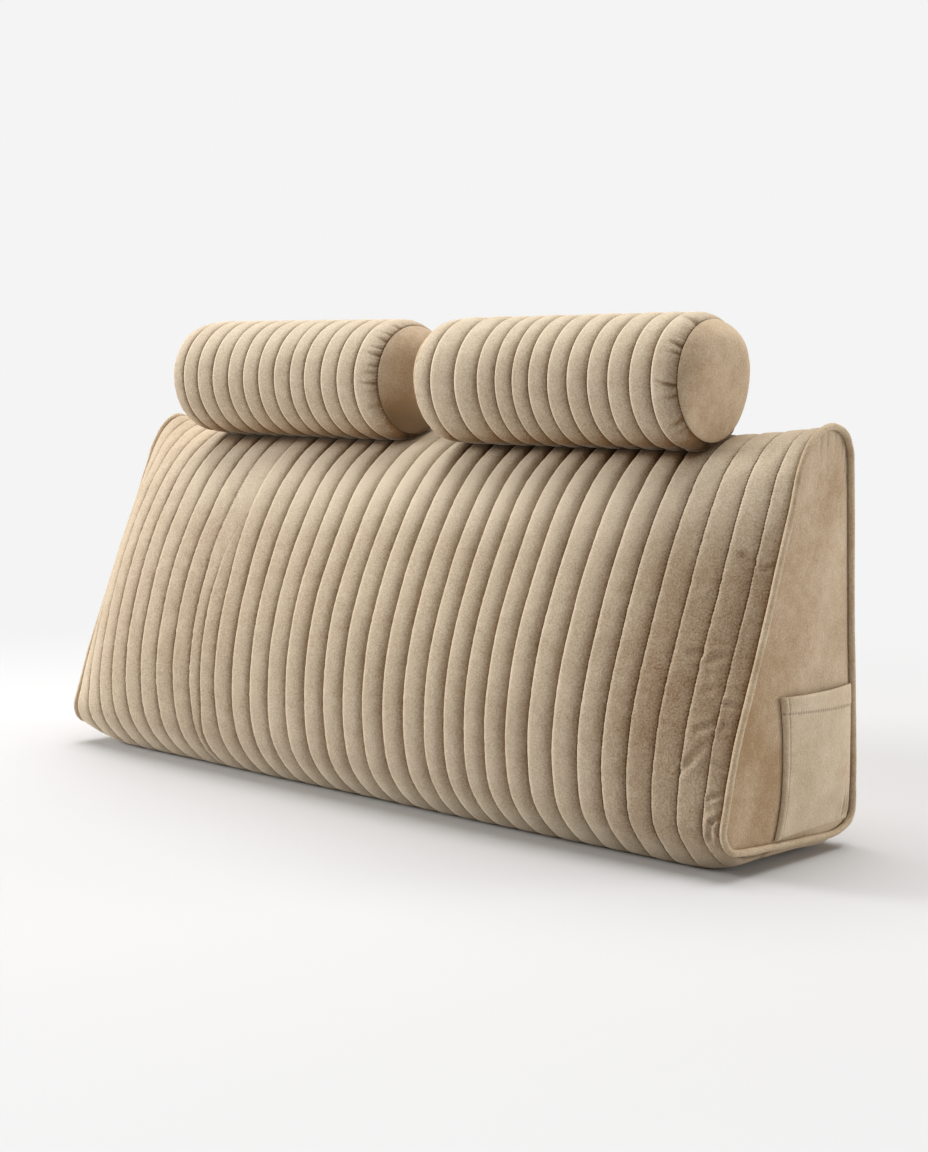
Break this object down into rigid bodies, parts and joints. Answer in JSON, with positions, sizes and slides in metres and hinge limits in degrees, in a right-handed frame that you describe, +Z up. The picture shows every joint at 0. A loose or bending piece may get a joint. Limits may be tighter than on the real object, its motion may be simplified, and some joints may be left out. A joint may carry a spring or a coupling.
{
  "type": "wedge reading pillow",
  "caption": "Long wedge back-rest pillow in channel-quilted velvet, with round bolster headrests lying along its ridge, piped ends and a patch pocket on one end.",
  "frame": {"origin": "middle of the pillow's outline seen from above, at the height of its base", "axes": "+X along the pillow to the end with the pocket, the quilted front faces -Y, +Z up"},
  "size_m": [1.2192, 0.2924, 0.6314],
  "materials": {
    "quilted_velvet": "short-pile velvet, channel quilted",
    "plain_velvet": "short-pile velvet",
    "piping_velvet": "velvet bias strip over a round cord"
  },
  "bodies": {
    "root": {"wedge_body": "quilted_velvet", "back_panel": "plain_velvet", "base_panel": "plain_velvet", "end_panel_left": "plain_velvet", "piping_left": "piping_velvet", "end_panel_right": "plain_velvet", "piping_right": "piping_velvet", "side_pocket": "plain_velvet", "bolster_left": "quilted_velvet", "bolster_left_disc_left": "plain_velvet", "bolster_left_disc_right": "plain_velvet", "bolster_right": "quilted_velvet", "bolster_right_disc_left": "plain_velvet", "bolster_right_disc_right": "plain_velvet"}
  },
  "joints": []
}
